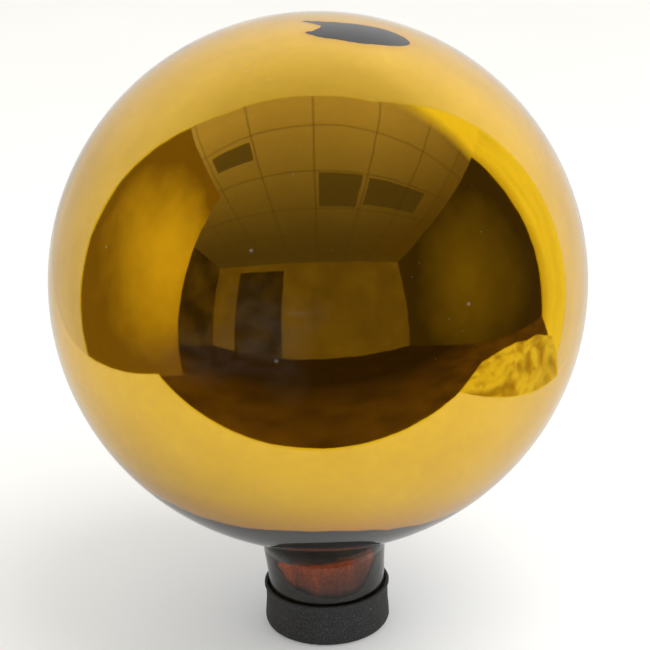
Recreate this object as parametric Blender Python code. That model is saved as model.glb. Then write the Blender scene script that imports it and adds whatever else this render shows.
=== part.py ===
"""A garden gazing globe: a mirror-coated glass ball with an open neck, closed by a rubber end cap.

Metres, +Z up. The origin is the middle of the cap's underside, which the globe stands on.
Every piece is turned round the Z axis from stations along one outline, so that the coats keep
an even distance to the glass that they line.
"""

import math

import bmesh
import bpy
from mathutils import Matrix, Vector

# Driving dimensions
BALL_RADIUS = 0.127
BALL_CENTRE_Z = 0.1795
BALL_WALL = 0.0016
NECK_RADIUS = 0.0288  # outside, where the cap grips it
NECK_TOP_RADIUS = 0.0305  # outside, just under the ball
NECK_WALL = 0.0025
FILLET_RADIUS = 0.007  # between the neck and the ball

CAP_HEIGHT = 0.022
CAP_FLOOR = 0.0025
CAP_LIP_RADIUS = 0.0310
CAP_WAIST_RADIUS = 0.0304
CAP_FOOT_RADIUS = 0.0308
CAP_EDGE_RADIUS = 0.003
CAP_LIP_HEIGHT = 0.0018
CAP_INNER_CORNER = 0.001

GAP = 0.0003  # kept between pieces that touch
COAT_THICKNESS = 0.0003
MIRROR_EDGE_ANGLE = math.radians(47.8)  # from the bottom of the ball up to the mirror coat, on average
MIRROR_EDGE_TILT = math.radians(4.0)  # that edge slants: it lies higher on the -X side
BACKING_LOW_Z = 0.006  # the backing lines the neck too, down to just above its mouth
TONGUE_TOP_Z = 0.0455
TONGUE_LOW_Z = 0.0272
TONGUE_HALF_ANGLE = math.radians(57.0)

BALD_SPOT_CENTRE = (0.0200, -0.0170)
BALD_SPOT_SIZE = (0.046, 0.023)

# Fineness
SEGMENTS = 48
BALL_RINGS = 20
FILLET_STEPS = 5
NECK_STEPS = 6
ROUND_STEPS = 4
TONGUE_COLUMNS = 14
TONGUE_ROWS = 5


def clear_scene():
    for item in list(bpy.data.objects):
        bpy.data.objects.remove(item, do_unlink=True)


def make_material(name, colour, roughness, metallic=0.0, transmission=0.0):
    material = bpy.data.materials.new(name)
    material.use_nodes = True
    shader = material.node_tree.nodes["Principled BSDF"]
    shader.inputs["Base Color"].default_value = (*colour, 1.0)
    shader.inputs["Roughness"].default_value = roughness
    shader.inputs["Metallic"].default_value = metallic
    shader.inputs["Transmission Weight"].default_value = transmission
    return material


def make_object(name, mesh, material):
    mesh.materials.append(material)
    mesh.shade_smooth()
    mesh.set_sharp_from_angle(angle=math.radians(40.0))
    piece = bpy.data.objects.new(name, mesh)
    bpy.context.scene.collection.objects.link(piece)
    return piece


def turned_mesh(name, outline):
    """A closed body turned from (radius, height) points. Its ends lie on the axis, or it is a closed loop."""
    shape = bmesh.new()
    rings = []
    for radius, height in outline:
        if radius < 1e-6:
            rings.append([shape.verts.new((0.0, 0.0, height))] * SEGMENTS)
            continue
        ring = []
        for step in range(SEGMENTS):
            turn = 2.0 * math.pi * step / SEGMENTS
            ring.append(shape.verts.new((radius * math.cos(turn), radius * math.sin(turn), height)))
        rings.append(ring)
    on_axis = outline[0][0] < 1e-6
    pairs = list(zip(rings, rings[1:]))
    if not on_axis:
        pairs.append((rings[-1], rings[0]))
    for upper, lower in pairs:
        for step in range(SEGMENTS):
            after = (step + 1) % SEGMENTS
            corners = [upper[step], upper[after], lower[after], lower[step]]
            shape.faces.new(list(dict.fromkeys(corners)))
    bmesh.ops.recalc_face_normals(shape, faces=shape.faces)
    mesh = bpy.data.meshes.new(name)
    shape.to_mesh(mesh)
    shape.free()
    return mesh


def neck_radius(height):
    """The neck's outside radius: straight inside the cap, then widening smoothly up to the fillet."""
    share = (height - CAP_HEIGHT) / (fillet_start_z() - CAP_HEIGHT)
    share = min(max(share, 0.0), 1.0)
    share = share * share * (3.0 - 2.0 * share)
    return NECK_RADIUS + (NECK_TOP_RADIUS - NECK_RADIUS) * share


def fillet_centre():
    """The middle of the arc that is tangent to the neck's top and to the ball."""
    radius = NECK_TOP_RADIUS + FILLET_RADIUS
    reach = BALL_RADIUS + FILLET_RADIUS
    return radius, BALL_CENTRE_Z - math.sqrt(reach * reach - radius * radius)


def fillet_start_z():
    return fillet_centre()[1]


def wall_stations():
    """(radius, height, outward normal, wall) along the glass, from the ball's top to the neck's mouth."""
    stations = []
    centre_r, centre_z = fillet_centre()
    ball_end = math.pi - math.asin(centre_r / (BALL_RADIUS + FILLET_RADIUS))
    for ring in range(BALL_RINGS + 1):
        angle = ball_end * ring / BALL_RINGS
        normal = (math.sin(angle), math.cos(angle))
        radius = BALL_RADIUS * normal[0]
        height = BALL_CENTRE_Z + BALL_RADIUS * normal[1]
        stations.append((radius, height, normal, BALL_WALL))
    for step in range(1, FILLET_STEPS + 1):
        share = step / FILLET_STEPS
        angle = ball_end + (math.pi / 2.0 - ball_end) * share
        normal = (math.sin(angle), math.cos(angle))
        radius = centre_r - FILLET_RADIUS * normal[0]
        height = centre_z - FILLET_RADIUS * normal[1]
        stations.append((radius, height, normal, BALL_WALL + (NECK_WALL - BALL_WALL) * share))
    for step in range(1, NECK_STEPS + 1):
        height = centre_z + (CAP_HEIGHT - centre_z) * step / NECK_STEPS
        stations.append((neck_radius(height), height, (1.0, 0.0), NECK_WALL))
    mouth_z = CAP_FLOOR + GAP + NECK_WALL / 2.0
    stations.append((NECK_RADIUS, mouth_z, (1.0, 0.0), NECK_WALL))
    return stations


def inner_point(station, depth=0.0):
    """The point at a depth under the glass's inner face."""
    radius, height, normal, wall = station
    return radius - normal[0] * (wall + depth), height - normal[1] * (wall + depth)


def coat_outline(stations, depth):
    """The outline of a coat whose face towards the glass lies at a depth under the glass's inner face."""
    outer = [inner_point(station, depth) for station in stations]
    inner = [inner_point(station, depth + COAT_THICKNESS) for station in stations]
    return outer + inner[::-1]


def glass_globe():
    stations = wall_stations()
    outer = [(radius, height) for radius, height, normal, wall in stations]
    inner = [inner_point(station) for station in stations]
    mouth_radius = NECK_RADIUS - NECK_WALL / 2.0
    mouth_z = stations[-1][1]
    rim = []
    for step in range(1, 2 * ROUND_STEPS):
        angle = math.pi * step / (2 * ROUND_STEPS)
        rim.append(
            (
                mouth_radius + NECK_WALL / 2.0 * math.cos(angle),
                mouth_z - NECK_WALL / 2.0 * math.sin(angle),
            )
        )
    mesh = turned_mesh("glass_globe", outer + rim + inner[::-1])
    return make_object("glass_globe", mesh, make_material("clear_glass", (0.93, 0.95, 0.95), 0.03, 0.0, 1.0))


def bald_spot_cutter():
    """An oval post through the top of the ball, which opens the bald spot in the mirror coat."""
    shape = bmesh.new()
    width, depth = BALD_SPOT_SIZE
    bottom = []
    for step in range(24):
        turn = 2.0 * math.pi * step / 24
        bottom.append(shape.verts.new((width / 2.0 * math.cos(turn), depth / 2.0 * math.sin(turn), -0.02)))
    base = shape.faces.new(bottom)
    lid = bmesh.ops.extrude_face_region(shape, geom=[base])
    raised = [item for item in lid["geom"] if isinstance(item, bmesh.types.BMVert)]
    bmesh.ops.translate(shape, verts=raised, vec=Vector((0.0, 0.0, 0.04)))
    bmesh.ops.recalc_face_normals(shape, faces=shape.faces)
    mesh = bpy.data.meshes.new("bald_spot_cutter")
    shape.to_mesh(mesh)
    shape.free()
    cutter = bpy.data.objects.new("bald_spot_cutter", mesh)
    cutter.location = (*BALD_SPOT_CENTRE, BALL_CENTRE_Z + BALL_RADIUS)
    cutter.hide_render = True
    cutter.display_type = "WIRE"
    bpy.context.scene.collection.objects.link(cutter)
    return cutter


def mirror_edge_cutter():
    """A tilted slab under the ball, whose top face trims the mirror coat to its slanted edge."""
    size = 2.2 * BALL_RADIUS
    bpy.ops.mesh.primitive_cube_add(size=size)
    cutter = bpy.context.object
    cutter.name = "mirror_edge_cutter"
    edge_z = BALL_CENTRE_Z - BALL_RADIUS * math.cos(MIRROR_EDGE_ANGLE)
    below = Matrix.Translation((0.0, 0.0, -size / 2.0))
    tilt = Matrix.Rotation(MIRROR_EDGE_TILT, 4, "Y")
    cutter.matrix_world = Matrix.Translation((0.0, 0.0, edge_z)) @ tilt @ below
    cutter.hide_render = True
    cutter.display_type = "WIRE"
    return cutter


def mirror_film():
    """A thin bowl behind the glass, opened at the bald spot and trimmed to a slanted lower edge."""
    lowest_z = BALL_CENTRE_Z - BALL_RADIUS * math.cos(MIRROR_EDGE_ANGLE - 1.5 * MIRROR_EDGE_TILT)
    stations = [station for station in wall_stations() if station[1] > lowest_z]
    mesh = turned_mesh("mirror_film", coat_outline(stations, GAP))
    film = make_object("mirror_film", mesh, make_material("gold_mirror", (0.72, 0.44, 0.05), 0.05, 1.0))
    for name, cutter in (("bald_spot", bald_spot_cutter()), ("lower_edge", mirror_edge_cutter())):
        cut = film.modifiers.new(name, "BOOLEAN")
        cut.operation = "DIFFERENCE"
        cut.solver = "EXACT"
        cut.object = cutter
    return film


def backing_lacquer():
    """The coat behind the mirror, which lines the bare glass below it and the neck as well."""
    stations = [station for station in wall_stations() if station[1] > BACKING_LOW_Z]
    stations.append((NECK_RADIUS, BACKING_LOW_Z, (1.0, 0.0), NECK_WALL))
    behind_mirror = 2.0 * GAP + COAT_THICKNESS
    mesh = turned_mesh("backing_lacquer", coat_outline(stations, behind_mirror))
    return make_object("backing_lacquer", mesh, make_material("black_lacquer", (0.01, 0.01, 0.01), 0.4))


def neck_lacquer():
    """A bowl-shaped tongue of colour coat on the front of the neck's inside, in front of the backing."""
    shape = bmesh.new()
    layers = []
    for depth in (GAP, GAP + COAT_THICKNESS):
        grid = []
        for column in range(TONGUE_COLUMNS + 1):
            share = 2.0 * column / TONGUE_COLUMNS - 1.0
            turn = -math.pi / 2.0 + TONGUE_HALF_ANGLE * share
            low = TONGUE_TOP_Z - (TONGUE_TOP_Z - TONGUE_LOW_Z) * (1.0 - 0.8 * share * share)
            line = []
            for row in range(TONGUE_ROWS + 1):
                height = TONGUE_TOP_Z + (low - TONGUE_TOP_Z) * row / TONGUE_ROWS
                radius = neck_radius(height) - NECK_WALL - depth
                line.append(shape.verts.new((radius * math.cos(turn), radius * math.sin(turn), height)))
            grid.append(line)
        layers.append(grid)
        for left, right in zip(grid, grid[1:]):
            for row in range(TONGUE_ROWS):
                shape.faces.new((left[row], right[row], right[row + 1], left[row + 1]))
    outer, inner = (border_loop(grid) for grid in layers)
    for step in range(len(outer)):
        after = (step + 1) % len(outer)
        shape.faces.new((outer[step], outer[after], inner[after], inner[step]))
    bmesh.ops.recalc_face_normals(shape, faces=shape.faces)
    mesh = bpy.data.meshes.new("neck_lacquer")
    shape.to_mesh(mesh)
    shape.free()
    return make_object("neck_lacquer", mesh, make_material("rust_lacquer", (0.22, 0.06, 0.03), 0.35))


def border_loop(grid):
    """The vertices round the edge of a grid of columns, in order."""
    left = grid[0]
    bottom = [line[-1] for line in grid[1:-1]]
    right = grid[-1][::-1]
    top = [line[0] for line in grid[-2:0:-1]]
    return left + bottom + right + top


def rubber_cap():
    """A cup: flat foot, rounded lower edge, slightly waisted wall and a lip round its mouth."""
    bore_radius = NECK_RADIUS + GAP
    outline = [(0.0, CAP_FLOOR), (bore_radius - CAP_INNER_CORNER, CAP_FLOOR)]
    for step in range(1, ROUND_STEPS + 1):
        angle = math.pi / 2.0 * step / ROUND_STEPS
        outline.append(
            (
                bore_radius - CAP_INNER_CORNER + CAP_INNER_CORNER * math.sin(angle),
                CAP_FLOOR + CAP_INNER_CORNER - CAP_INNER_CORNER * math.cos(angle),
            )
        )
    outline.append((bore_radius, CAP_HEIGHT))
    outline.append((CAP_LIP_RADIUS, CAP_HEIGHT))
    outline.append((CAP_LIP_RADIUS, CAP_HEIGHT - CAP_LIP_HEIGHT))
    outline.append((CAP_WAIST_RADIUS, CAP_HEIGHT - 2.0 * CAP_LIP_HEIGHT))
    outline.append((CAP_WAIST_RADIUS, CAP_HEIGHT / 2.0))
    for step in range(ROUND_STEPS + 1):
        angle = math.pi / 2.0 * step / ROUND_STEPS
        outline.append(
            (
                CAP_FOOT_RADIUS - CAP_EDGE_RADIUS + CAP_EDGE_RADIUS * math.cos(angle),
                CAP_EDGE_RADIUS - CAP_EDGE_RADIUS * math.sin(angle),
            )
        )
    outline.append((0.0, 0.0))
    mesh = turned_mesh("rubber_cap", outline)
    return make_object("rubber_cap", mesh, make_material("black_rubber", (0.03, 0.03, 0.03), 0.75))


def build():
    clear_scene()
    cap = rubber_cap()
    globe = glass_globe()
    for coat in (mirror_film(), backing_lacquer(), neck_lacquer()):
        coat.parent = globe
    return cap, globe


build()
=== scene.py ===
"""The looks of the gazing globe: fine glass, coats, rubber, set and camera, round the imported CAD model.

Metres, +Z up, in the CAD model's own frame. Each piece follows the same outline as its CAD node,
only finer, and the coats get the real ragged edges of brushed and poured lacquer. The coats are
sunk about a tenth of a millimetre into the glass's inner skin: they are bonded to it, and no air
may show between glass and coat.
"""

import math

import bmesh
import bpy
from mathutils import Matrix, Vector, noise


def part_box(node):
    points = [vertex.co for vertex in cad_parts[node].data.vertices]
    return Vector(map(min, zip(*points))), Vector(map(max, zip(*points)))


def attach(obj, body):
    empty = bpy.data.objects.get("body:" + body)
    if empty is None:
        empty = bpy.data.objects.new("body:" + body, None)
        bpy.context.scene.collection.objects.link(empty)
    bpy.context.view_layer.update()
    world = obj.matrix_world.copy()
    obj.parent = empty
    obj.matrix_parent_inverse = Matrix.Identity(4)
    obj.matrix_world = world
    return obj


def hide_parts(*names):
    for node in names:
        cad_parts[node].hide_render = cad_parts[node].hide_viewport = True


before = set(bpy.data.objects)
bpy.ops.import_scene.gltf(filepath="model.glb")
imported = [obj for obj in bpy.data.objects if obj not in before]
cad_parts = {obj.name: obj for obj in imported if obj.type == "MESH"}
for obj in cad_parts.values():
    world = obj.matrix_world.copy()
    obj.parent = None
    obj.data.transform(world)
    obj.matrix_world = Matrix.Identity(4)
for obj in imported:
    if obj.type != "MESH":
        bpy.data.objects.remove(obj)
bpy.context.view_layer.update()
noise.seed_set(5)  # noise_vector would otherwise start from the clock, and differ at each run

# Sizes read from the CAD nodes
GLASS_LOW, GLASS_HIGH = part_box("glass_globe")
CAP_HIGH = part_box("rubber_cap")[1]
BALL_RADIUS = (GLASS_HIGH.x - GLASS_LOW.x) / 2.0
BALL_CENTRE = Vector((0.0, 0.0, GLASS_HIGH.z - BALL_RADIUS))
MOUTH_Z = GLASS_LOW.z
CAP_HEIGHT = CAP_HIGH.z
CAP_LIP_RADIUS = CAP_HIGH.x

# Sizes shared with the CAD model's outline
BALL_WALL = 0.0016
NECK_RADIUS = 0.0288
NECK_TOP_RADIUS = 0.0305
NECK_WALL = 0.0025
FILLET_RADIUS = 0.007
NECK_GAP = 0.0003

# What hand-blowing leaves on the neck, finer than the CAD model shows
RIDGE_Z = 0.0474  # a low ridge of glass, where the neck was joined to the ball
RIDGE_HEIGHT = 0.0005
RIDGE_SPREAD = 0.0008
NECK_LEAN = -0.0010  # the neck leaves the ball this far off its axis
LEAN_FADE = 0.02  # and the lean is gone this far above the fillet

# Where the bonded coats' outer faces lie, outwards from the glass's inner face, and how thick they are
MIRROR_DEPTH = 0.00015
MIRROR_THICKNESS = 0.00006
BACKING_DEPTH = 0.00005
BACKING_THICKNESS = 0.00015
TONGUE_DEPTH = 0.00010
TONGUE_THICKNESS = 0.00012

BACKING_END_Z = 0.0070  # the backing lines the neck too, down to just above its mouth

# The mirror coat's lower edge: degrees round from the front, degrees up from the ball's bottom
MIRROR_EDGE = (
    (-180.0, 48.0), (-140.0, 49.6), (-100.0, 51.0), (-70.0, 51.4), (-48.0, 50.4), (-38.0, 48.6),
    (-24.0, 47.8), (-7.0, 48.7), (2.0, 48.5), (12.0, 47.2), (20.0, 45.7), (34.0, 44.0),
    (48.0, 44.6), (75.0, 45.6), (110.0, 44.8), (150.0, 46.6), (180.0, 48.0),
)
BARE_FRINGE = 0.004  # the mirror coat thins out over this distance from its edges
BROWN_FRINGE = 0.030  # and browns a little over this one, above its lower edge

# The set: the white table top in the mirror image, and the crumpled end of its cloth, from above
TABLE_LEFT = -0.46
TABLE_RIGHT = 0.31
TABLE_FRONT = -0.235
TABLE_BACK = 0.80
CLOTH_OUTLINE = (
    (0.30, -0.235), (0.38, -0.245), (0.45, -0.250), (0.49, -0.250), (0.535, -0.21), (0.575, -0.17),
    (0.605, -0.10), (0.58, -0.03), (0.585, 0.03), (0.50, 0.11), (0.30, 0.12),
)

# The set's ceiling: its square panels, and the dark lamps and vent (low x, high x, low y, high y)
PANEL_SIZE = 0.53
SEAM_SHIFT = 0.13
DARK_PANELS = (
    (0.04, 0.48, -1.16, -0.68), (0.56, 1.35, -1.10, -0.70), (-1.0, -0.56, -0.42, -0.20),
)
FLAP_COLOUR = (1.12, 1.05, 0.16)

# Outline of the bald spot, seen from above, in millimetres from the ball's top
BALD_OUTLINE = (
    (-3.5, -4.6), (3.0, -5.2), (12.0, -6.0), (24.0, -5.8), (34.0, -6.4), (40.5, -9.2),
    (43.6, -14.0), (42.2, -19.0), (37.0, -23.4), (29.0, -26.4), (20.5, -28.0), (12.0, -26.8),
    (3.6, -24.8), (-2.4, -19.8), (1.4, -17.4), (4.6, -12.4), (1.6, -9.4),
)

# Lower and upper edge of the rust-red tongue: degrees round from the front, height in millimetres
TONGUE_LOW = (
    (-58.0, 39.6), (-50.0, 35.8), (-42.0, 31.0), (-32.0, 28.4), (-20.0, 26.8), (-8.0, 25.6),
    (6.0, 24.8), (18.0, 24.7), (30.0, 25.2), (40.0, 27.4), (47.0, 32.0), (54.0, 37.0), (62.0, 42.6),
)
TONGUE_TOP = (
    (-58.0, 40.2), (-47.0, 42.0), (-25.0, 43.8), (0.0, 44.6), (20.0, 45.5), (44.0, 45.6),
    (62.0, 44.4),
)
TONGUE_RAGGED = 0.0006
TONGUE_THINS_UP = 0.0055  # the tongue reaches its full thickness this far above its lower edge
TONGUE_THINS_IN = 13.0  # and this many degrees in from its sides

# The cap's section
CAP_WAIST_RADIUS = CAP_LIP_RADIUS - 0.0007
CAP_FOOT_RADIUS = CAP_LIP_RADIUS - 0.0002
CAP_FOOT_ROUND = 0.0031
CAP_FLOOR_ROUND = 0.001
CAP_MOUTH_ROUND = 0.0009
CAP_LIP_ROUND = 0.0006
CAP_LIP_DEPTH = 0.0014


# ---------------------------------------------------------------- mesh helpers

SHARP_ANGLE = math.radians(35.0)
ON_AXIS = 1e-7


def turned(name, outline, segments, shift=None):
    """A closed body turned round Z from (radius, height) points, whose ends lie on the axis or meet."""
    points, rings, faces = [], [], []
    for radius, height in outline:
        aside = shift(height) if shift else 0.0
        if radius < ON_AXIS:
            rings.append([len(points)] * segments)
            points.append((aside, 0.0, height))
            continue
        rings.append(list(range(len(points), len(points) + segments)))
        for step in range(segments):
            turn = 2.0 * math.pi * step / segments
            points.append((aside + radius * math.cos(turn), radius * math.sin(turn), height))
    pairs = list(zip(rings, rings[1:]))
    if outline[0][0] >= ON_AXIS:
        pairs.append((rings[-1], rings[0]))
    for above_painted_reflection, lower in pairs:
        for step in range(segments):
            after = (step + 1) % segments
            corners = (above_painted_reflection[step], above_painted_reflection[after], lower[after], lower[step])
            faces.append(tuple(dict.fromkeys(corners)))
    return finished_mesh(name, points, faces)


def finished_mesh(name, points, faces):
    """A smooth-shaded mesh with its faces turned outwards and its real corners kept sharp."""
    mesh = bpy.data.meshes.new(name)
    mesh.from_pydata(points, [], faces)
    shape = bmesh.new()
    shape.from_mesh(mesh)
    bmesh.ops.recalc_face_normals(shape, faces=shape.faces)
    shape.to_mesh(mesh)
    shape.free()
    mesh.shade_smooth()
    mesh.set_sharp_from_angle(angle=SHARP_ANGLE)
    return mesh


def add_piece(name, mesh, material, body, node):
    """Shows a mesh as one piece that rides on a body, in place of its CAD node."""
    mesh.materials.append(material)
    piece = bpy.data.objects.new(name, mesh)
    bpy.context.scene.collection.objects.link(piece)
    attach(piece, body)
    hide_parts(node)
    return piece


def arc(centre, radius, start, end, steps):
    """Points on a circle in the outline's plane; angles in degrees from outwards, counter-clockwise."""
    angles = [math.radians(start + (end - start) * step / steps) for step in range(steps + 1)]
    return [(centre[0] + radius * math.cos(a), centre[1] + radius * math.sin(a)) for a in angles]


def smooth_step(value):
    """Eases from 0 to 1 as value does, and stays there outside."""
    value = min(max(value, 0.0), 1.0)
    return value * value * (3.0 - 2.0 * value)


def rough_noise(spot, layers):
    """Noise at a spot, added up from (amplitude, how fine) layers."""
    return sum(amplitude * noise.noise(spot * finer) for amplitude, finer in layers)


def between(pairs, key):
    """Smoothly interpolated value at key, from (key, value) pairs in rising order."""
    if key <= pairs[0][0]:
        return pairs[0][1]
    for (low, start), (high, end) in zip(pairs, pairs[1:]):
        if key <= high:
            return start + (end - start) * smooth_step((key - low) / (high - low))
    return pairs[-1][1]


def closed_curve(points, steps):
    """A smooth closed line through given points."""
    line = []
    count = len(points)
    for index in range(count):
        p0, p1, p2, p3 = (Vector(points[(index + offset) % count]) for offset in (-1, 0, 1, 2))
        for step in range(steps):
            t = step / steps
            line.append(
                0.5 * (2.0 * p1 + (p2 - p0) * t + (2.0 * p0 - 5.0 * p1 + 4.0 * p2 - p3) * t ** 2
                       + (3.0 * p1 - p0 - 3.0 * p2 + p3) * t ** 3)
            )
    return line


def roughened(line, amplitude, size):
    """Moves a flat closed line's points by noise, so that the edge looks brushed."""
    moved = []
    for point in line:
        spot = Vector((point.x / size, point.y / size, 0.0))
        push = noise.noise_vector(spot) + 0.5 * noise.noise_vector(spot * 2.7)
        moved.append(Vector((point.x + amplitude * push.x, point.y + amplitude * push.y)))
    return moved


# ---------------------------------------------------------------- the glass outline


def fillet_centre():
    """(radius, height) of the middle of the fillet between neck and ball."""
    radius = NECK_TOP_RADIUS + FILLET_RADIUS
    reach = BALL_RADIUS + FILLET_RADIUS
    return radius, BALL_CENTRE.z - math.sqrt(reach * reach - radius * radius)


def neck_radius(height):
    """The neck's outside radius: straight inside the cap, then widening smoothly up to the fillet."""
    share = (height - CAP_HEIGHT) / (fillet_centre()[1] - CAP_HEIGHT)
    return NECK_RADIUS + (NECK_TOP_RADIUS - NECK_RADIUS) * smooth_step(share)


def lean(height):
    """Sideways offset of the neck's middle, growing from the cap to the fillet and gone in the ball."""
    start = fillet_centre()[1]
    rise = smooth_step((height - CAP_HEIGHT) / (start - CAP_HEIGHT))
    fade = 1.0 - smooth_step((height - start) / LEAN_FADE)
    return NECK_LEAN * rise * fade


def wall_stations(ball_rings=110, fillet_steps=12, neck_steps=52):
    """(radius, height, outward normal, wall) along the glass, from the ball's top to the neck's mouth."""
    stations = []
    centre_r, centre_z = fillet_centre()
    ball_end = math.pi - math.asin(centre_r / (BALL_RADIUS + FILLET_RADIUS))
    for ring in range(ball_rings + 1):
        angle = ball_end * ring / ball_rings
        normal = (math.sin(angle), math.cos(angle))
        height = BALL_CENTRE.z + BALL_RADIUS * normal[1]
        stations.append((BALL_RADIUS * normal[0], height, normal, BALL_WALL))
    for step in range(1, fillet_steps + 1):
        share = step / fillet_steps
        angle = ball_end + (math.pi / 2.0 - ball_end) * share
        normal = (math.sin(angle), math.cos(angle))
        radius = centre_r - FILLET_RADIUS * normal[0]
        height = centre_z - FILLET_RADIUS * normal[1]
        stations.append((radius, height, normal, BALL_WALL + (NECK_WALL - BALL_WALL) * share))
    for step in range(1, neck_steps + 1):
        height = centre_z + (CAP_HEIGHT - centre_z) * step / neck_steps
        stations.append((neck_radius(height), height, (1.0, 0.0), NECK_WALL))
    stations.append((NECK_RADIUS, MOUTH_Z + NECK_WALL / 2.0, (1.0, 0.0), NECK_WALL))
    return stations


def inner_point(station, outwards=0.0):
    """A point on the glass's inner face, or a little outwards from it, inside the wall."""
    radius, height, normal, wall = station
    depth = wall - outwards
    return radius - normal[0] * depth, height - normal[1] * depth


# ---------------------------------------------------------------- node helpers


def new_material(name):
    """A material with one Principled shader: returns it, its nodes and the shader."""
    material = bpy.data.materials.new(name)
    material.use_nodes = True
    tree = material.node_tree
    tree.nodes.clear()
    shader = tree.nodes.new("ShaderNodeBsdfPrincipled")
    output = tree.nodes.new("ShaderNodeOutputMaterial")
    tree.links.new(shader.outputs["BSDF"], output.inputs["Surface"])
    return material, tree, shader


def node(tree, kind, inputs, **settings):
    """Adds a node. An input is a plain value or another node's output."""
    made = tree.nodes.new(kind)
    for key, value in settings.items():
        setattr(made, key, value)
    for key, value in inputs.items():
        if isinstance(value, bpy.types.NodeSocket):
            tree.links.new(value, made.inputs[key])
        else:
            made.inputs[key].default_value = value
    return made


def position(tree):
    """The shaded point, in the object's own metres."""
    return node(tree, "ShaderNodeTexCoord", {}).outputs["Object"]


def coordinate(tree, place, axis):
    """One coordinate of a place: X, Y or Z."""
    return node(tree, "ShaderNodeSeparateXYZ", {"Vector": place}).outputs[axis]


def stretched(tree, place, scale):
    """The place scaled along each axis: a pattern on it is drawn out where the scale is small."""
    return node(tree, "ShaderNodeMapping", {"Vector": place, "Scale": scale}).outputs["Vector"]


def cloud(tree, place, scale, detail=3.0, roughness=0.5):
    """Soft noise from 0 to 1, mostly near 0.5."""
    made = node(
        tree,
        "ShaderNodeTexNoise",
        {"Vector": place, "Scale": scale, "Detail": detail, "Roughness": roughness},
    )
    return made.outputs[0]


def spread(tree, value, low, high, start=0.0, end=1.0):
    """Maps value from low..high to start..end, kept within it."""
    made = node(
        tree,
        "ShaderNodeMapRange",
        {"Value": value, "From Min": low, "From Max": high, "To Min": start, "To Max": end},
    )
    return made.outputs["Result"]


def maths(tree, operation, first, second):
    """One step of arithmetic on two values."""
    return node(tree, "ShaderNodeMath", {0: first, 1: second}, operation=operation).outputs[0]


def blended(tree, share, first, second):
    """A colour between two: the second where share is 1."""
    made = node(tree, "ShaderNodeMix", {}, data_type="RGBA")
    for key, value in ((0, share), (6, first), (7, second)):
        if isinstance(value, bpy.types.NodeSocket):
            tree.links.new(value, made.inputs[key])
        elif key == 0:
            made.inputs[key].default_value = value
        else:
            made.inputs[key].default_value = (*value, 1.0)
    return made.outputs[2]


def relief(tree, height, distance, under=None):
    """Bumps of up to the given distance, on top of those under them."""
    inputs = {"Height": height, "Distance": distance, "Strength": 1.0}
    if under is not None:
        inputs["Normal"] = under
    return node(tree, "ShaderNodeBump", inputs).outputs["Normal"]


def specks(tree, place, scale, size, share):
    """1 on a few small round spots: cells of 1/scale metres, of which only a share hold a spot."""
    cells = node(tree, "ShaderNodeTexVoronoi", {"Vector": place, "Scale": scale})
    chosen = node(tree, "ShaderNodeSeparateColor", {"Color": cells.outputs["Color"]})
    near = spread(tree, cells.outputs["Distance"], size * 0.6, size, 1.0, 0.0)
    picked = spread(tree, chosen.outputs[0], 1.0 - share, 1.0 - share + 0.001)
    return maths(tree, "MULTIPLY", near, picked)


# ---------------------------------------------------------------- materials


def clear_glass():
    """Clear blown glass: faint waves, tool marks round the neck's top, wiped smears and a little dust."""
    material, tree, shader = new_material("clear_glass")
    place = position(tree)
    dust = specks(tree, place, 110.0, 0.11, 0.08)
    fine_dust = specks(tree, place, 330.0, 0.10, 0.05)
    wiped = cloud(tree, stretched(tree, place, (1.0, 1.0, 2.4)), 120.0, 3.0, 0.6)
    patches = spread(tree, cloud(tree, place, 10.0, 2.0, 0.5), 0.63, 0.80)
    smear = maths(tree, "MULTIPLY", patches, spread(tree, wiped, 0.3, 0.75, 0.0, 0.035))
    all_dust = spread(tree, maths(tree, "MAXIMUM", dust, fine_dust), 0.0, 1.0, 0.0, 0.07)
    veil = maths(tree, "MAXIMUM", smear, all_dust)
    tree.links.new(spread(tree, veil, 0.0, 1.0, 1.0, 0.0), shader.inputs["Transmission Weight"])
    handled = cloud(tree, place, 26.0, 4.0, 0.6)
    tree.links.new(spread(tree, handled, 0.4, 0.75, 0.004, 0.022), shader.inputs["Roughness"])
    shader.inputs["Base Color"].default_value = (0.985, 0.99, 0.985, 1.0)
    shader.inputs["IOR"].default_value = 1.5
    waves = relief(tree, cloud(tree, place, 14.0, 1.0, 0.4), 0.00025)
    height = coordinate(tree, place, "Z")
    from_below = spread(tree, height, 0.043, 0.047)
    near_top = maths(tree, "MULTIPLY", from_below, spread(tree, height, 0.056, 0.050))
    tooled = cloud(tree, stretched(tree, place, (1.0, 1.0, 7.0)), 130.0, 4.0, 0.65)
    marks = maths(tree, "MULTIPLY", near_top, tooled)
    tree.links.new(relief(tree, marks, 0.009, under=waves), shader.inputs["Normal"])
    return material


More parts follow.
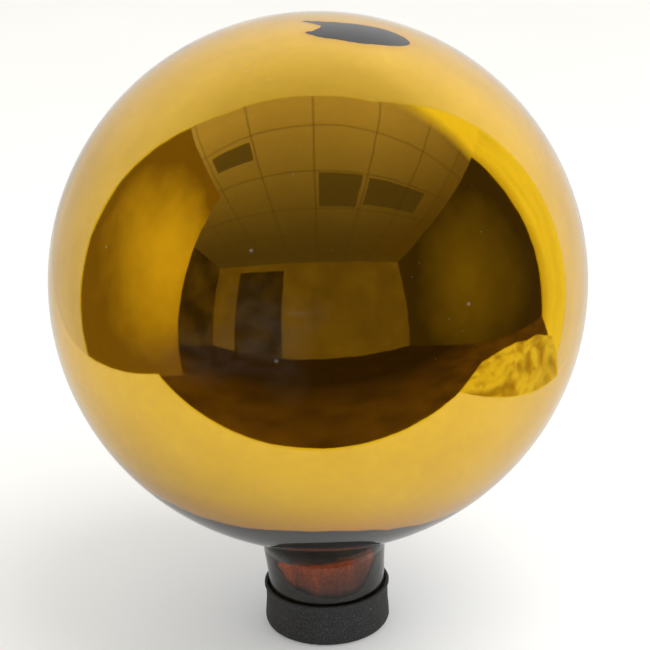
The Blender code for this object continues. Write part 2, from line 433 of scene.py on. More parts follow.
def gold_mirror():
    """Gold-toned mirror coat: faint mottling, pinholes, and a browner fringe where it thins out."""
    material, tree, shader = new_material("gold_mirror")
    place = position(tree)
    clouds = cloud(tree, place, 30.0, 5.0, 0.6)
    fine = cloud(tree, place, 260.0, 3.0, 0.6)
    gold = blended(tree, spread(tree, clouds, 0.3, 0.7), (0.73, 0.430, 0.005), (0.79, 0.480, 0.010))
    gold = blended(tree, spread(tree, fine, 0.35, 0.7, 0.0, 0.22), gold, (0.62, 0.345, 0.004))
    fade = node(tree, "ShaderNodeAttribute", {}, attribute_name="thinning").outputs["Fac"]
    uneven = maths(tree, "MULTIPLY", fade, spread(tree, clouds, 0.25, 0.65, 0.6, 1.2))
    gold = blended(tree, uneven, gold, (0.72, 0.28, 0.012))
    pinholes = specks(tree, place, 95.0, 0.05, 0.04)
    gold = blended(tree, pinholes, gold, (0.03, 0.018, 0.008))
    tree.links.new(gold, shader.inputs["Base Color"])
    shader.inputs["Metallic"].default_value = 1.0
    thinned = maths(tree, "MULTIPLY", uneven, 0.10)
    haze = maths(tree, "ADD", spread(tree, clouds, 0.3, 0.8, 0.02, 0.04), thinned)
    tree.links.new(haze, shader.inputs["Roughness"])
    ripple = relief(tree, cloud(tree, place, 45.0, 2.0, 0.5), 0.00004)
    tree.links.new(relief(tree, fine, 0.0000012, under=ripple), shader.inputs["Normal"])
    return material


def black_lacquer():
    """Brushed-on black protective lacquer, seen through the bare glass: greyer low on the globe, as a
    painted reflection of the pale floor in the bare glass.
    """
    material, tree, shader = new_material("black_lacquer")
    place = position(tree)
    strokes = cloud(tree, stretched(tree, place, (1.0, 1.0, 6.0)), 60.0, 4.0, 0.6)
    # Painted reflection: the lacquer is made greyer low on the globe, to brighten the band where the bare
    # glass mirrors the pale floor.
    above_painted_reflection = spread(tree, coordinate(tree, place, "Z"), 0.07, 0.12)
    colour = blended(tree, above_painted_reflection, (0.095, 0.093, 0.090), (0.018, 0.018, 0.018))
    colour = blended(tree, spread(tree, strokes, 0.35, 0.7, 0.0, 0.35), colour, (0.012, 0.012, 0.012))
    tree.links.new(colour, shader.inputs["Base Color"])
    tree.links.new(spread(tree, strokes, 0.3, 0.7, 0.35, 0.6), shader.inputs["Roughness"])
    shader.inputs["Specular IOR Level"].default_value = 0.05
    tree.links.new(relief(tree, strokes, 0.0001), shader.inputs["Normal"])
    return material


def rust_lacquer():
    """Thin rust-red colour coat that ran down into the neck: streaky, and dark where it is thin."""
    material, tree, shader = new_material("rust_lacquer")
    place = position(tree)
    streaks = cloud(tree, stretched(tree, place, (3.0, 3.0, 0.7)), 55.0, 5.0, 0.6)
    grain = cloud(tree, place, 620.0, 3.0, 0.7)
    level = spread(tree, coordinate(tree, place, "Z"), 0.027, 0.046)
    level = maths(tree, "ADD", level, spread(tree, streaks, 0.3, 0.7, -0.3, 0.3))
    colour = blended(tree, level, (0.27, 0.095, 0.065), (0.98, 0.190, 0.045))
    colour = blended(tree, spread(tree, grain, 0.40, 0.62, 0.0, 0.45), colour, (0.12, 0.045, 0.030))
    on_right = spread(tree, coordinate(tree, place, "X"), 0.006, 0.016)
    smudge = maths(tree, "MULTIPLY", on_right, spread(tree, level, 0.95, 0.55))
    smudge = maths(tree, "MULTIPLY", smudge, spread(tree, streaks, 0.3, 0.6, 0.20, 0.60))
    colour = blended(tree, smudge, colour, (0.034, 0.022, 0.018))
    cover = node(tree, "ShaderNodeAttribute", {}, attribute_name="thickness").outputs["Fac"]
    cover = maths(tree, "ADD", cover, spread(tree, streaks, 0.3, 0.7, -0.25, 0.25))
    colour = blended(tree, spread(tree, cover, 0.0, 0.8), (0.02, 0.014, 0.013), colour)
    tree.links.new(colour, shader.inputs["Base Color"])
    tree.links.new(spread(tree, streaks, 0.3, 0.7, 0.3, 0.5), shader.inputs["Roughness"])
    shader.inputs["Specular IOR Level"].default_value = 0.05
    tree.links.new(relief(tree, grain, 0.00003), shader.inputs["Normal"])
    return material


def black_rubber():
    """Matt moulded rubber: fine grain, a dusty bloom, and a few pale crumbs."""
    material, tree, shader = new_material("black_rubber")
    place = position(tree)
    grain = cloud(tree, place, 1300.0, 3.0, 0.7)
    bloom = cloud(tree, place, 60.0, 5.0, 0.6)
    dusty = spread(tree, bloom, 0.35, 0.75)
    colour = blended(tree, dusty, (0.014, 0.014, 0.0147), (0.025, 0.025, 0.0262))
    colour = blended(tree, spread(tree, grain, 0.48, 0.66), colour, (0.052, 0.052, 0.056))
    crumbs = specks(tree, place, 420.0, 0.16, 0.03)
    colour = blended(tree, crumbs, colour, (0.20, 0.195, 0.18))
    tree.links.new(colour, shader.inputs["Base Color"])
    tree.links.new(spread(tree, bloom, 0.3, 0.7, 0.62, 0.8), shader.inputs["Roughness"])
    shader.inputs["Specular IOR Level"].default_value = 0.45
    tree.links.new(relief(tree, grain, 0.0003), shader.inputs["Normal"])
    return material


# ---------------------------------------------------------------- pieces


def join_ridge(height):
    """Height of the low ridge where the neck was melted on to the ball."""
    return RIDGE_HEIGHT * math.exp(-(((height - RIDGE_Z) / RIDGE_SPREAD) ** 2))


def make_glass():
    """Ball and neck as one skin of glass, with an uneven ridge where they were joined."""
    stations = wall_stations()
    outer = []
    for radius, height, normal, _ in stations:
        on_neck = normal == (1.0, 0.0)
        outer.append((radius + (join_ridge(height) if on_neck else 0.0), height))
    inner = [inner_point(station) for station in stations]
    middle = (NECK_RADIUS - NECK_WALL / 2.0, stations[-1][1])
    rim = arc(middle, NECK_WALL / 2.0, 0.0, -180.0, 12)[1:-1]
    mesh = turned("globe_glass", outer + rim + inner[::-1], 192, lean)
    ridge_end = RIDGE_Z + 0.003
    for vertex in mesh.vertices:
        radius = math.hypot(vertex.co.x, vertex.co.y)
        if radius > NECK_RADIUS and vertex.co.z < ridge_end:
            uneven = rough_noise(vertex.co, ((0.55, 190.0), (0.35, 520.0)))
            scale = 1.0 + uneven * join_ridge(vertex.co.z) / radius
            vertex.co.x *= scale
            vertex.co.y *= scale
    return add_piece("globe_glass", mesh, clear_glass(), "globe", "glass_globe")


def bald_line():
    """The bald spot's outline seen from above, in metres."""
    line = closed_curve([(x / 1000.0, y / 1000.0) for x, y in BALD_OUTLINE], 10)
    return roughened(line, 0.0004, 0.0028)


def mirror_edge_angle(turn):
    """Angle from the ball's bottom up to the mirror coat's ragged edge; turn runs from +X towards +Y."""
    round_from_front = (math.degrees(turn) + 270.0) % 360.0 - 180.0
    spot = Vector((math.cos(turn), math.sin(turn), 0.0))
    ragged = rough_noise(spot, ((0.35, 7.0), (0.22, 19.0), (0.14, 47.0)))
    return math.radians(between(MIRROR_EDGE, round_from_front) + ragged)


def mirror_points(radius, segments, fine_rings, coarse_rings):
    """Rings of points on a sphere from its top to the ragged edge, finer near the bald spot."""
    fine_end = math.radians(27.0)  # well past the bald spot's far end
    rings = []
    for ring in range(1, fine_rings + coarse_rings + 1):
        line = []
        for step in range(segments):
            turn = 2.0 * math.pi * step / segments
            if ring <= fine_rings:
                angle = fine_end * ring / fine_rings
            else:
                share = (ring - fine_rings) / coarse_rings
                angle = fine_end + (math.pi - mirror_edge_angle(turn) - fine_end) * share
            reach = radius * math.sin(angle)
            height = BALL_CENTRE.z + radius * math.cos(angle)
            line.append((reach * math.cos(turn), reach * math.sin(turn), height))
        rings.append(line)
    return rings


def shell_faces(first, segments, ring_count, top):
    """Faces of a bowl whose ring points start at index first and whose top point is index top."""
    faces = []
    for step in range(segments):
        after = (step + 1) % segments
        faces.append((top, first + step, first + after))
        for ring in range(ring_count - 1):
            low = first + ring * segments
            faces.append((low + step, low + segments + step, low + segments + after, low + after))
    return faces


def make_mirror():
    """The gold coat inside the ball: a thin bowl with a ragged lower edge and the bald spot cut out."""
    segments, fine_rings, coarse_rings = 240, 54, 62
    outside = BALL_RADIUS - BALL_WALL + MIRROR_DEPTH
    points, faces, starts = [], [], []
    for radius in (outside, outside - MIRROR_THICKNESS):
        top = len(points)
        points.append((0.0, 0.0, BALL_CENTRE.z + radius))
        rings = mirror_points(radius, segments, fine_rings, coarse_rings)
        for line in rings:
            points.extend(line)
        faces.extend(shell_faces(top + 1, segments, len(rings), top))
        starts.append(top + 1 + (len(rings) - 1) * segments)
    for step in range(segments):
        after = (step + 1) % segments
        faces.append((starts[0] + step, starts[0] + after, starts[1] + after, starts[1] + step))
    mesh = finished_mesh("mirror_coat", points, faces)
    piece = add_piece("mirror_coat", mesh, gold_mirror(), "globe", "mirror_film")
    cut_bald_spot(piece)
    mark_thinning(piece.data)
    return piece


def cut_bald_spot(piece):
    """Opens the bald spot with a post of its outline, and applies the cut."""
    post_foot, post_length = BALL_CENTRE.z + 0.09, 0.06  # from inside the ball to above its top
    shape = bmesh.new()
    corners = [shape.verts.new((point.x, point.y, post_foot)) for point in bald_line()]
    base = shape.faces.new(corners)
    raised = bmesh.ops.extrude_face_region(shape, geom=[base])["geom"]
    lid = [item for item in raised if isinstance(item, bmesh.types.BMVert)]
    bmesh.ops.translate(shape, verts=lid, vec=Vector((0.0, 0.0, post_length)))
    bmesh.ops.recalc_face_normals(shape, faces=shape.faces)
    mesh = bpy.data.meshes.new("bald_spot_post")
    shape.to_mesh(mesh)
    shape.free()
    post = bpy.data.objects.new("bald_spot_post", mesh)
    bpy.context.scene.collection.objects.link(post)
    cut = piece.modifiers.new("bald_spot", "BOOLEAN")
    cut.operation = "DIFFERENCE"
    cut.solver = "EXACT"
    cut.object = post
    graph = bpy.context.evaluated_depsgraph_get()
    made = bpy.data.meshes.new_from_object(piece.evaluated_get(graph))
    piece.modifiers.clear()
    piece.data = in_fixed_order(made)
    bpy.data.objects.remove(post, do_unlink=True)


def in_fixed_order(mesh):
    """The same mesh with its faces in one fixed order, which a Boolean leaves to chance."""
    points = [tuple(vertex.co) for vertex in mesh.vertices]
    faces = []
    for face in mesh.polygons:
        corners = list(face.vertices)
        first = corners.index(min(corners))
        faces.append(tuple(corners[first:] + corners[:first]))
    ordered = finished_mesh(mesh.name + "_ordered", points, sorted(faces))
    for material in mesh.materials:
        ordered.materials.append(material)
    return ordered


def mark_thinning(mesh):
    """Stores how far the mirror coat has thinned: 1 at its lower edge, 0 where it is whole."""
    browned_share, bared_share, bald_share = 0.45, 0.55, 0.45
    line = bald_line()
    near_top = 0.1  # only above this height over the ball's middle can a vertex be near the bald spot
    values = []
    for vertex in mesh.vertices:
        offset = vertex.co - BALL_CENTRE
        angle = math.acos(max(-1.0, min(1.0, -offset.z / offset.length)))
        edge_angle = mirror_edge_angle(math.atan2(offset.y, offset.x))
        away = (angle - edge_angle) * BALL_RADIUS
        browned = browned_share * (1.0 - smooth_step(away / BROWN_FRINGE))
        bared = bared_share * (1.0 - smooth_step(away / BARE_FRINGE))
        if offset.z > near_top:
            flat = Vector((vertex.co.x, vertex.co.y))
            away = min((flat - point).length for point in line)
            bared = bald_share * (1.0 - smooth_step(away / BARE_FRINGE))
        values.append(browned + bared)
    mesh.attributes.new("thinning", "FLOAT", "POINT").data.foreach_set("value", values)


def make_backing():
    """The black coat behind the mirror, which lines the bare glass and the neck too."""
    segments = 240
    lowest_whole = BACKING_END_Z + 0.001  # below this only the ragged edge's own ring is placed
    stations = [station for station in wall_stations() if station[1] > lowest_whole]
    last = (NECK_RADIUS, BACKING_END_Z, (1.0, 0.0), NECK_WALL)
    points, faces, ends = [], [], []
    for outwards in (BACKING_DEPTH, BACKING_DEPTH - BACKING_THICKNESS):
        top = len(points)
        points.append((0.0, 0.0, inner_point(stations[0], outwards)[1]))
        for station in stations[1:] + [last]:
            radius, height = inner_point(station, outwards)
            for step in range(segments):
                turn = 2.0 * math.pi * step / segments
                place = height - (ragged_drop(turn) if station is last else 0.0)
                reach = lean(place) + radius * math.cos(turn)
                points.append((reach, radius * math.sin(turn), place))
        faces.extend(shell_faces(top + 1, segments, len(stations), top))
        ends.append(len(points) - segments)
    for step in range(segments):
        after = (step + 1) % segments
        faces.append((ends[0] + step, ends[0] + after, ends[1] + after, ends[1] + step))
    mesh = finished_mesh("backing_coat", points, faces)
    return add_piece("backing_coat", mesh, black_lacquer(), "globe", "backing_lacquer")


def ragged_drop(turn):
    """How far the backing's edge runs below its mean height: short runs of lacquer."""
    spot = Vector((math.cos(turn), math.sin(turn), 0.0))
    return rough_noise(spot, ((0.0007, 4.0), (0.0005, 15.0), (0.0003, 40.0)))


def make_tongue():
    """The rust-red tongue: a curved patch on the front of the neck's inside, with ragged edges."""
    columns, rows = 150, 40
    front = -math.pi / 2.0
    left_side, right_side = TONGUE_LOW[0][0], TONGUE_LOW[-1][0]
    layers = []
    points, faces, thickness = [], [], []
    for outwards in (TONGUE_DEPTH, TONGUE_DEPTH - TONGUE_THICKNESS):
        grid = []
        for column in range(columns + 1):
            degrees = left_side + (right_side - left_side) * column / columns
            turn = front + math.radians(degrees)
            wobble = TONGUE_RAGGED * noise.noise(Vector((degrees / 7.0, 0.0, 0.0)))
            wobble += 0.5 * TONGUE_RAGGED * noise.noise(Vector((degrees / 2.0, 5.0, 0.0)))
            low = between(TONGUE_LOW, degrees) / 1000.0 + wobble
            high = max(between(TONGUE_TOP, degrees) / 1000.0 + 0.4 * wobble, low + 0.0002)
            line = []
            for row in range(rows + 1):
                height = high + (low - high) * row / rows
                radius = neck_radius(height) - NECK_WALL + outwards
                line.append(len(points))
                reach = lean(height) + radius * math.cos(turn)
                points.append((reach, radius * math.sin(turn), height))
                from_side = min(degrees - left_side, right_side - degrees)
                filled = min((height - low) / TONGUE_THINS_UP, from_side / TONGUE_THINS_IN)
                thickness.append(smooth_step(filled))
            grid.append(line)
        layers.append(grid)
        for left, right in zip(grid, grid[1:]):
            for row in range(rows):
                faces.append((left[row], right[row], right[row + 1], left[row + 1]))
    outer, inner = (border_loop(grid) for grid in layers)
    for step in range(len(outer)):
        after = (step + 1) % len(outer)
        faces.append((outer[step], outer[after], inner[after], inner[step]))
    mesh = finished_mesh("neck_coat", points, faces)
    mesh.attributes.new("thickness", "FLOAT", "POINT").data.foreach_set("value", thickness)
    return add_piece("neck_coat", mesh, rust_lacquer(), "globe", "neck_lacquer")


def border_loop(grid):
    """The points round the edge of a grid of columns, in order."""
    bottom = [line[-1] for line in grid[1:-1]]
    top = [line[0] for line in grid[-2:0:-1]]
    return grid[0] + bottom + grid[-1][::-1] + top


def make_cap():
    """The rubber cup: flat foot with a rounded edge, waisted wall, rolled lip and a bevelled mouth."""
    bore = NECK_RADIUS + NECK_GAP
    floor_z = MOUTH_Z - NECK_GAP
    mouth_start = CAP_HEIGHT - 0.0011
    lip_end = CAP_HEIGHT - CAP_LIP_DEPTH
    flat_foot = CAP_FOOT_RADIUS - CAP_FOOT_ROUND
    round_middle = (bore - CAP_FLOOR_ROUND, floor_z + CAP_FLOOR_ROUND)
    outline = [(0.0, floor_z), (bore - CAP_FLOOR_ROUND, floor_z)]
    outline += arc(round_middle, CAP_FLOOR_ROUND, -90.0, 0.0, 6)[1:]
    outline += [(bore, CAP_HEIGHT * share) for share in (0.4, 0.7)]
    outline += [(bore, mouth_start)]
    mouth_middle = (bore + CAP_MOUTH_ROUND, CAP_HEIGHT - CAP_MOUTH_ROUND)
    outline += arc(mouth_middle, CAP_MOUTH_ROUND, 170.0, 90.0, 5)
    lip_middle = (CAP_LIP_RADIUS - CAP_LIP_ROUND, CAP_HEIGHT - CAP_LIP_ROUND)
    outline += arc(lip_middle, CAP_LIP_ROUND, 90.0, 0.0, 6)
    outline += [(CAP_LIP_RADIUS, lip_end)]
    steps = 26
    for step in range(1, steps):
        share = step / steps
        height = lip_end + (CAP_FOOT_ROUND - lip_end) * share
        pulled_in = (CAP_LIP_RADIUS - CAP_WAIST_RADIUS) * smooth_step(share / 0.10)
        pushed_out = (CAP_FOOT_RADIUS - CAP_WAIST_RADIUS) * smooth_step((share - 0.45) / 0.45)
        outline.append((CAP_LIP_RADIUS - pulled_in + pushed_out, height))
    outline += arc((flat_foot, CAP_FOOT_ROUND), CAP_FOOT_ROUND, 0.0, -90.0, 12)
    outline += [(flat_foot - 0.004, 0.0), (0.0, 0.0)]
    mesh = turned("end_cap", outline, 224)
    outside, above_foot = bore + 0.0008, 0.0005
    for vertex in mesh.vertices:
        radius = math.hypot(vertex.co.x, vertex.co.y)
        if radius > outside and vertex.co.z > above_foot:
            uneven = rough_noise(vertex.co, ((0.00016, 110.0), (0.00006, 420.0)))
            scale = 1.0 + uneven / radius
            vertex.co.x *= scale
            vertex.co.y *= scale
    return add_piece("end_cap", mesh, black_rubber(), "cap", "rubber_cap")


# ---------------------------------------------------------------- set and camera


def glow_material(name, build_colour):
    """A self-lit surface for the set, which needs no lamps of its own."""
    material = bpy.data.materials.new(name)
    material.use_nodes = True
    tree = material.node_tree
    tree.nodes.clear()
    emission = node(tree, "ShaderNodeEmission", {"Color": build_colour(tree), "Strength": 1.0})
    output = tree.nodes.new("ShaderNodeOutputMaterial")
    tree.links.new(emission.outputs[0], output.inputs["Surface"])
    material.cycles.emission_sampling = "NONE"
    return material


def pale_sheet_material(name, dim, pale):
    """Matt white that is uneven between two grey levels: returns the material and its shader."""
    material, tree, shader = new_material(name)
    tone = cloud(tree, position(tree), 3.0, 3.0, 0.5)
    colour = blended(tree, spread(tree, tone, 0.3, 0.7), (dim, dim, dim), (pale, pale, pale))
    tree.links.new(colour, shader.inputs["Base Color"])
    shader.inputs["Roughness"].default_value = 0.9
    shader.inputs["Specular IOR Level"].default_value = 0.1
    return material, shader


def make_floor():
    """A pale floor without end, slightly self-lit, which the ball doesn't mirror."""
    pale, shader = pale_sheet_material("pale_floor", 0.90, 0.93)
    shader.inputs["Emission Color"].default_value = (1.0, 1.0, 1.0, 1.0)
    shader.inputs["Emission Strength"].default_value = 0.10
    far = 20.0
    floor = stage_sheet("floor", (-far, -far), (far, far), 0.0, pale)
    leave_out_of_mirror(floor)


def make_mirrored_table():
    """The smaller white table top that the ball mirrors instead, with the end of its cloth. Its white is
    a greyer copy of the floor's, as painted shade, so the mirror image sees the floor dimmer than the
    camera does.
    """
    # Painted shade: the table's whites are below the floor's and it has no glow, a dimmer copy of the lit
    # floor for the mirror image.
    white = pale_sheet_material("table_top", 0.83, 0.86)[0]
    table_z, cloth_z = 0.0003, 0.0006
    low, high = (TABLE_LEFT, TABLE_FRONT), (TABLE_RIGHT, TABLE_BACK)
    show_only_mirrored(stage_sheet("mirrored_table", low, high, table_z, white))
    cloth = [(x, y, cloth_z) for x, y in CLOTH_OUTLINE]
    show_only_mirrored(stage_panel("mirrored_cloth", cloth, glow_material("table_cloth", cloth_glow)))


def make_backdrop():
    """A round screen behind the floor, in its far tone, which only the camera sees."""
    sides, radius, height = 64, 12.0, 9.0
    points, faces = [], []
    for step in range(sides):
        turn = 2.0 * math.pi * step / sides
        for level in (0.0, height):
            points.append((radius * math.cos(turn), radius * math.sin(turn), level))
        after = (step + 1) % sides
        faces.append((2 * step, 2 * after, 2 * after + 1, 2 * step + 1))
    screen = stage_mesh("backdrop", points, faces, glow_material("backdrop_paper", backdrop_glow))
    leave_out_of_mirror(screen)
    screen.visible_diffuse = False
    screen.visible_shadow = False


def backdrop_glow(tree):
    """The floor's far tone low down, turning to a plain near-white above."""
    height = coordinate(tree, position(tree), "Z")
    return blended(tree, spread(tree, height, 0.0, 3.0), (0.90, 0.885, 0.85), (0.97, 0.97, 0.97))


def leave_out_of_mirror(item):
    """Keeps a piece of the set out of mirror images and of what shows through the glass."""
    item.visible_glossy = False
    item.visible_transmission = False


def show_only_mirrored(item):
    """Leaves a piece of the set in mirror images only."""
    item.visible_camera = False
    item.visible_diffuse = False
    item.visible_shadow = False


def cloth_glow(tree):
    """A crumpled end of the white table cloth: bright broad folds with shaded hollows between them."""
    place = stretched(tree, position(tree), (1.0, 1.8, 1.0))
    swirl = {"Vector": place, "Scale": 4.5, "Detail": 2.5, "Distortion": 2.2}
    folds = node(tree, "ShaderNodeTexNoise", swirl).outputs[0]
    tone = blended(tree, spread(tree, folds, 0.36, 0.60), (0.50, 0.38, 0.06), (0.98, 0.92, 0.20))
    hollows = cloud(tree, place, 22.0, 3.0, 0.6)
    return blended(tree, spread(tree, hollows, 0.52, 0.66, 0.0, 0.5), tone, (0.36, 0.25, 0.04))


def stage_sheet(name, low, high, height, material):
    """A level rectangle, from its low corner to its high one, as one piece of the set."""
    corners = [(low[0], low[1], height), (high[0], low[1], height)]
    corners += [(high[0], high[1], height), (low[0], high[1], height)]
    return stage_panel(name, corners, material)


def stage_panel(name, corners, material):
    """One flat face as a piece of the set."""
    return stage_mesh(name, corners, [tuple(range(len(corners)))], material)


def stage_mesh(name, points, faces, material):
    """Any mesh as a piece of the set."""
    mesh = bpy.data.meshes.new(name)
    mesh.from_pydata(points, [], faces)
    mesh.materials.append(material)
    item = bpy.data.objects.new(name, mesh)
    bpy.context.scene.collection.objects.link(item)
    return item


def dimmed(colour, share):
    """A colour at a share of its brightness."""
    return tuple(share * part for part in colour)


def mottled(tree, colour, darker, scale=1.6):
    """An uneven wall colour: parts of it fall to darker times its brightness."""
    tone = cloud(tree, position(tree), scale, 4.0, 0.55)
    return blended(tree, spread(tree, tone, 0.35, 0.65), dimmed(colour, darker), colour)


def within(tree, value, low, high):
    """1 where the value lies between low and high, else 0."""
    inputs = {0: value, 1: (low + high) / 2.0, 2: (high - low) / 2.0}
    return node(tree, "ShaderNodeMath", inputs, operation="COMPARE").outputs[0]


def ceiling_glow(tree):
    """Square ceiling panels, lit from the tent's side: thin seams, two unlit lamp panels, one vent."""
    across, along = (coordinate(tree, position(tree), axis) for axis in "XY")
    lit = maths(tree, "POWER", spread(tree, along, -2.3, 0.15), 2.3)
    tone = blended(tree, lit, (0.092, 0.073, 0.050), (0.50, 0.42, 0.31))
    tone = blended(tree, spread(tree, across, 0.5, 1.7, 0.0, 0.75), tone, (0.10, 0.068, 0.018))
    for low_x, high_x, low_y, high_y in DARK_PANELS:
        inside_x = within(tree, across, low_x, high_x)
        panel = maths(tree, "MULTIPLY", inside_x, within(tree, along, low_y, high_y))
        tone = blended(tree, maths(tree, "MULTIPLY", panel, 0.8), tone, (0.075, 0.062, 0.045))
    for axis, offset in ((across, 0.0), (along, SEAM_SHIFT)):
        shifted = maths(tree, "ADD", axis, offset)
        from_seam = maths(tree, "PINGPONG", shifted, PANEL_SIZE / 2.0)
        tone = blended(tree, spread(tree, from_seam, 0.004, 0.014, 0.4, 0.0), tone, (0.05, 0.04, 0.03))
    by_flap = maths(tree, "MULTIPLY", spread(tree, across, 0.45, 0.95), spread(tree, along, 0.26, 0.52))
    return blended(tree, by_flap, tone, FLAP_COLOUR)


def flap_glow(tree):
    """The tent's hanging side flap, bright cloth with soft upright folds, darker by the room."""
    place = position(tree)
    folds = cloud(tree, stretched(tree, place, (1.0, 1.0, 0.25)), 5.0, 3.0, 0.5)
    tone = blended(tree, spread(tree, folds, 0.35, 0.65), dimmed(FLAP_COLOUR, 0.86), FLAP_COLOUR)
    by_room = spread(tree, coordinate(tree, place, "Y"), 0.36, 0.58, 0.75, 0.0)
    return blended(tree, by_room, tone, (0.50, 0.38, 0.03))


def pool_of_light(tree, middle, reach, bright, dim):
    """A wall colour that is bright round one point and dim away from it."""
    place = position(tree)
    apart = node(tree, "ShaderNodeVectorMath", {0: place, 1: middle}, operation="DISTANCE")
    drift = spread(tree, cloud(tree, place, 2.5), 0.3, 0.7, -0.12, 0.12)
    uneven = maths(tree, "ADD", apart.outputs["Value"], drift)
    return blended(tree, spread(tree, uneven, 0.1, reach), bright, dim)


def ground_glow(tree):
    """A dark floor, a little lighter by the table, where the tent lights it."""
    by_table = spread(tree, coordinate(tree, position(tree), "Y"), -1.35, -0.55)
    tone = blended(tree, by_table, (0.030, 0.018, 0.010), (0.135, 0.078, 0.024))
    worn = cloud(tree, position(tree), 3.5, 4.0, 0.6)
    return blended(tree, spread(tree, worn, 0.4, 0.65, 0.0, 0.6), tone, (0.040, 0.024, 0.010))


def upright(start, end, low, high):
    """Corners of a wall on the line from start to end, seen from above."""
    return [(*start, low), (*end, low), (*end, high), (*start, high)]


def room_surface(name, corners, glow):
    """One plain surface of the room, which shows in mirror images only."""
    item = stage_panel("room_" + name, corners, glow_material("room_" + name, glow))
    show_only_mirrored(item)


def make_room():
    """The dim room in front of the tent, seen only as the ball's mirror image: walls and ceiling."""
    left, right, deep_left, front = -1.12, 1.85, -2.4, -2.6
    low, top = -0.32, 1.55
    jamb, flap, tent = -0.75, 0.38, 1.1
    left_edge, frame_edge = 0.42, flap - 0.03
    door_left, door_right, door_top = -1.72, -0.68, 1.38
    door_face = front + 0.01
    flap_low = -1.6
    tent_edge = (
        (right, tent), (1.50, 0.87), (0.78, 0.40), (0.45, 0.24), (0.0, 0.22), (-0.40, 0.25),
        (-0.69, 0.28), (left, left_edge),
    )
    deep_corners = ((left, jamb), (deep_left, jamb), (deep_left, front), (right, front))
    room_surface("ceiling", [(x, y, top) for x, y in tent_edge + deep_corners], ceiling_glow)
    room_surface(
        "front_wall",
        upright((deep_left, front), (right, front), low, top),
        lambda tree: mottled(tree, (0.175, 0.130, 0.045), 0.72),
    )
    room_surface(
        "doorway",
        upright((door_left, door_face), (door_right, door_face), low, door_top),
        lambda tree: mottled(tree, (0.060, 0.044, 0.020), 0.5, 3.0),
    )
    left_glow = ((left, -0.45, 0.60), 0.80, (0.75, 0.60, 0.09), (0.22, 0.145, 0.022))
    room_surface(
        "left_wall",
        upright((left, left_edge), (left, jamb), low, top),
        lambda tree: pool_of_light(tree, *left_glow),
    )
    room_surface(
        "jamb",
        upright((left, jamb), (deep_left, jamb), low, top),
        lambda tree: mottled(tree, (0.05, 0.035, 0.02), 0.5),
    )
    room_surface(
        "left_end",
        upright((deep_left, jamb), (deep_left, front), low, top),
        lambda tree: mottled(tree, (0.10, 0.07, 0.03), 0.4),
    )
    right_glow = ((right, -0.95, 0.50), 1.25, (0.175, 0.135, 0.022), (0.050, 0.036, 0.012))
    room_surface(
        "right_wall",
        upright((right, frame_edge), (right, front), low, top),
        lambda tree: pool_of_light(tree, *right_glow),
    )
    room_surface(
        "right_frame",
        upright((right, frame_edge), (right, flap), low, top),
        lambda tree: mottled(tree, (0.03, 0.02, 0.01), 0.5),
    )
    room_surface("right_flap", upright((right, flap), (right, tent), flap_low, top), flap_glow)
    ground = ((deep_left, front), (right, front), (right, flap), (left, left_edge), (deep_left, 0.0))
    room_surface("ground", [(x, y, low) for x, y in ground], ground_glow)


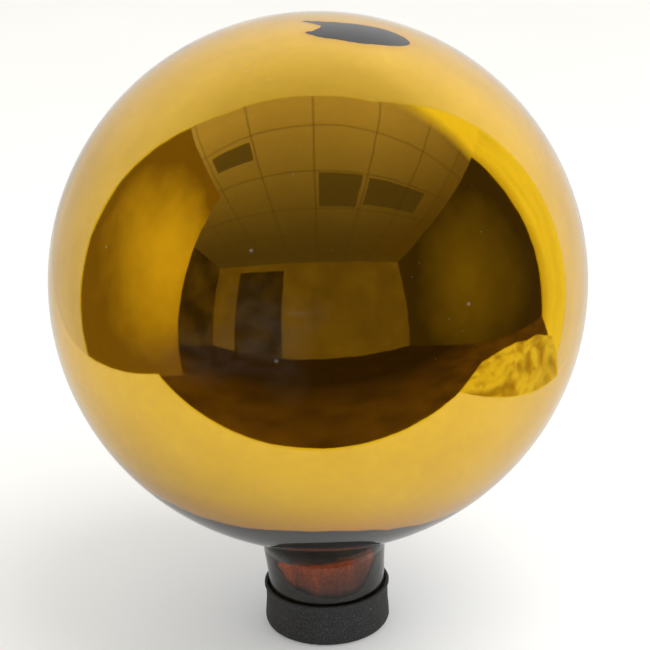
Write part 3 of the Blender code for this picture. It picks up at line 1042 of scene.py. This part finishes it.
def make_world():
    """A white tent all round, brighter above and on the right, dimmer by the ceiling, and uneven."""
    world = bpy.data.worlds.new("white_tent")
    bpy.context.scene.world = world
    world.use_nodes = True
    tree = world.node_tree
    tree.nodes.clear()
    direction = node(tree, "ShaderNodeTexCoord", {}).outputs["Generated"]
    sideways, forwards, upwards = (coordinate(tree, direction, axis) for axis in "XYZ")
    folds = cloud(tree, direction, 1.7, 2.0, 0.5)
    level = maths(tree, "MULTIPLY", sideways, 0.6)
    level = maths(tree, "ADD", level, maths(tree, "MULTIPLY", upwards, 0.45))
    level = maths(tree, "ADD", level, spread(tree, folds, 0.3, 0.7, -0.25, 0.25))
    colour = blended(tree, spread(tree, level, -1.0, 1.0), (0.62, 0.62, 0.62), (1.30, 1.30, 1.30))
    in_front = spread(tree, forwards, 0.25, 0.75, 1.0, 0.0)
    by_edge = maths(tree, "MULTIPLY", in_front, spread(tree, upwards, 0.55, 0.85))
    colour = blended(tree, maths(tree, "MULTIPLY", by_edge, 0.9), colour, (0.66, 0.63, 0.50))
    background = node(tree, "ShaderNodeBackground", {"Color": colour, "Strength": 1.0})
    output = tree.nodes.new("ShaderNodeOutputWorld")
    tree.links.new(background.outputs[0], output.inputs["Surface"])
    # Colours come out as they are, with no film look
    bpy.context.scene.view_settings.view_transform = "Standard"


def make_top_light():
    """A broad soft lamp over the table, which whitens it. The ball doesn't mirror it."""
    data = bpy.data.lights.new("top_light", "AREA")
    data.shape = "DISK"
    data.size = 1.7
    data.energy = 17.0
    lamp = bpy.data.objects.new("top_light", data)
    lamp.location = (0.75, -0.5, 1.6)
    lamp.rotation_euler = (math.radians(-17.0), math.radians(25.0), 0.0)
    leave_out_of_mirror(lamp)
    lamp.visible_camera = False
    bpy.context.scene.collection.objects.link(lamp)


def make_camera():
    """Looks down on the ball from in front, with the slight tilt that the picture has."""
    elevation, distance, roll = math.radians(20.0), 1.0, math.radians(1.65)
    aim_right, aim_down = 0.00327, 0.0204
    towards = Vector((0.0, math.cos(elevation), -math.sin(elevation)))
    tilt = Matrix.Rotation(roll, 3, towards)
    right = tilt @ Vector((1.0, 0.0, 0.0))
    up = right.cross(towards)
    place = BALL_CENTRE - towards * distance
    aim = BALL_CENTRE + right * aim_right - up * aim_down
    forward = (aim - place).normalized()
    side = forward.cross(up).normalized()
    above = side.cross(forward)
    data = bpy.data.cameras.new("camera")
    data.sensor_width = 36.0
    data.lens = 117.0
    camera = bpy.data.objects.new("camera", data)
    camera.matrix_world = Matrix((
        (side.x, above.x, -forward.x, place.x),
        (side.y, above.y, -forward.y, place.y),
        (side.z, above.z, -forward.z, place.z),
        (0.0, 0.0, 0.0, 1.0),
    ))
    bpy.context.scene.collection.objects.link(camera)
    bpy.context.scene.camera = camera


make_camera()
make_world()
make_floor()
make_backdrop()
make_mirrored_table()
make_room()
make_top_light()
make_glass()
make_mirror()
make_backing()
make_tongue()
make_cap()
